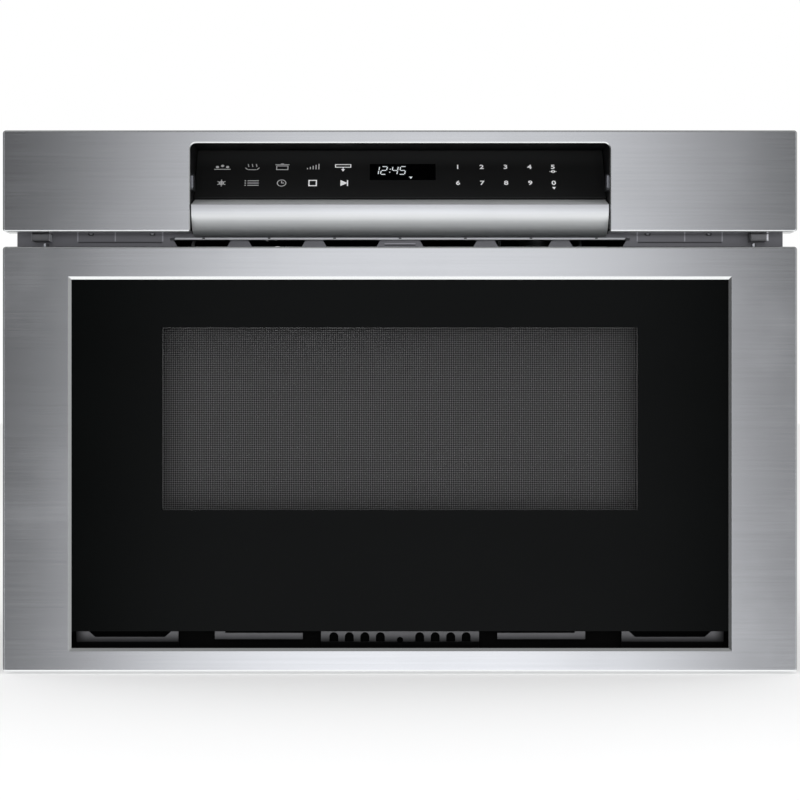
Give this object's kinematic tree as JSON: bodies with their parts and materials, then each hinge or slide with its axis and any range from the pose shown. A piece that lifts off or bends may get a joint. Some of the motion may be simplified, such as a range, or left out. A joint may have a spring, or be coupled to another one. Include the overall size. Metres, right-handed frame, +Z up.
{
  "type": "microwave drawer",
  "caption": "Built-in microwave drawer: brushed front with a screened window, sloped touch console above, powered tub on telescopic slides with rack and pinion.",
  "frame": {"origin": "middle of the box on the base plane, under the cabinet", "axes": "+X to the right seen from the front, +Y from the front to the rear, +Z up"},
  "size_m": [0.7588, 0.5936, 0.5188],
  "materials": {
    "face_steel": "horizontally brushed stainless steel",
    "zinc_sheet": "galvanised steel sheet",
    "frame_steel": "pressed steel, satin grey",
    "slide_steel": "bright zinc-plated steel",
    "cavity_steel": "smooth stainless steel",
    "bracket_steel": "plain steel",
    "screw_steel": "zinc-plated screws",
    "black_glass": "black-backed tempered glass, polished",
    "clear_glass": "clear tempered glass",
    "screen_black": "perforated sheet, black enamel",
    "vent_grey": "dark grey coated sheet",
    "liner_black": "moulded, satin black",
    "block_grey": "moulded nylon, dark grey",
    "nylon_white": "natural nylon",
    "board_green": "glass-fibre circuit board",
    "ceramic_floor": "glass-ceramic plate",
    "cover_white": "heat-resistant moulding",
    "magnetron_steel": "plated yoke and fins",
    "core_steel": "varnished laminations",
    "can_metal": "drawn can",
    "motor_metal": "pressed motor case",
    "fan_black": "moulded, black",
    "stirrer_alloy": "pressed aluminium"
  },
  "bodies": {
    "cabinet": {"base_pan": "zinc_sheet", "side_panel_left": "zinc_sheet", "side_panel_right": "zinc_sheet", "rear_panel": "zinc_sheet", "top_panel": "zinc_sheet", "panel_screws": "screw_steel", "front_frame": "frame_steel", "control_fascia": "face_steel", "console_liner": "liner_black", "touch_glass": "black_glass", "display_module": "liner_black", "control_board": "board_green", "bullnose_trim": "face_steel", "console_brackets": "bracket_steel", "air_deflector": "face_steel", "fascia_screws": "screw_steel", "guide_blocks": "block_grey", "guide_studs": "screw_steel", "cavity_floor": "cavity_steel", "cavity_ceiling": "cavity_steel", "cavity_side_left": "cavity_steel", "cavity_side_right": "cavity_steel", "cavity_back": "cavity_steel", "waveguide": "zinc_sheet", "magnetron": "magnetron_steel", "stirrer_motor": "motor_metal", "stirrer_cover": "cover_white", "hv_transformer": "core_steel", "hv_capacitor": "can_metal", "noise_filter": "board_green", "cable_gland": "fan_black", "fan_housing": "fan_black", "fan_motor": "motor_metal", "cavity_lamp": "cover_white", "slide_outer_left": "slide_steel", "slide_outer_right": "slide_steel", "rack_guide": "nylon_white", "motor_bracket": "zinc_sheet", "drive_motor": "motor_metal", "interlock_switches": "block_grey"},
    "drawer": {"drawer_front": "face_steel", "front_glass": "black_glass", "window_screen": "screen_black", "inner_glass": "clear_glass", "door_vent_plate": "vent_grey", "door_backplate": "zinc_sheet", "choke_frame": "block_grey", "drawer_tub": "cavity_steel", "ceramic_floor": "ceramic_floor", "door_screws": "screw_steel", "slide_inner_left": "slide_steel", "slide_inner_right": "slide_steel", "slide_arms": "zinc_sheet", "drive_rack": "slide_steel", "latch_hooks": "bracket_steel"},
    "slide_middles": {"slide_middle_left": "slide_steel", "slide_middle_right": "slide_steel"},
    "pinion": {"drive_pinion": "nylon_white"},
    "fan": {"fan_rotor": "fan_black"},
    "stirrer": {"stirrer_blade": "stirrer_alloy"}
  },
  "joints": [
    {"name": "drawer_slide", "type": "slide", "parent": "cabinet", "child": "drawer", "axis": [0, -1, 0], "range_m": [0, 0.381]},
    {"name": "middle_slide", "type": "slide", "parent": "cabinet", "child": "slide_middles", "axis": [0, -1, 0], "range_m": [0, 0.1905]},
    {"name": "pinion_turn", "type": "hinge", "parent": "cabinet", "child": "pinion", "pos_m": [-0.15, -0.21685, 0.0935], "axis": [1, 0, 0], "range_deg": [0, 1365]},
    {"name": "fan_spin", "type": "hinge", "parent": "cabinet", "child": "fan", "pos_m": [-0.2, 0.26435, 0.438], "axis": [0, 1, 0], "continuous": true},
    {"name": "stirrer_spin", "type": "hinge", "parent": "cabinet", "child": "stirrer", "pos_m": [0, -0.04685, 0.346], "axis": [0, 0, 1], "continuous": true}
  ],
  "couplings": [
    {"joint": "middle_slide", "follows": "drawer_slide", "ratio": 0.5},
    {"joint": "pinion_turn", "follows": "drawer_slide", "rad_per_m": 62.5}
  ]
}
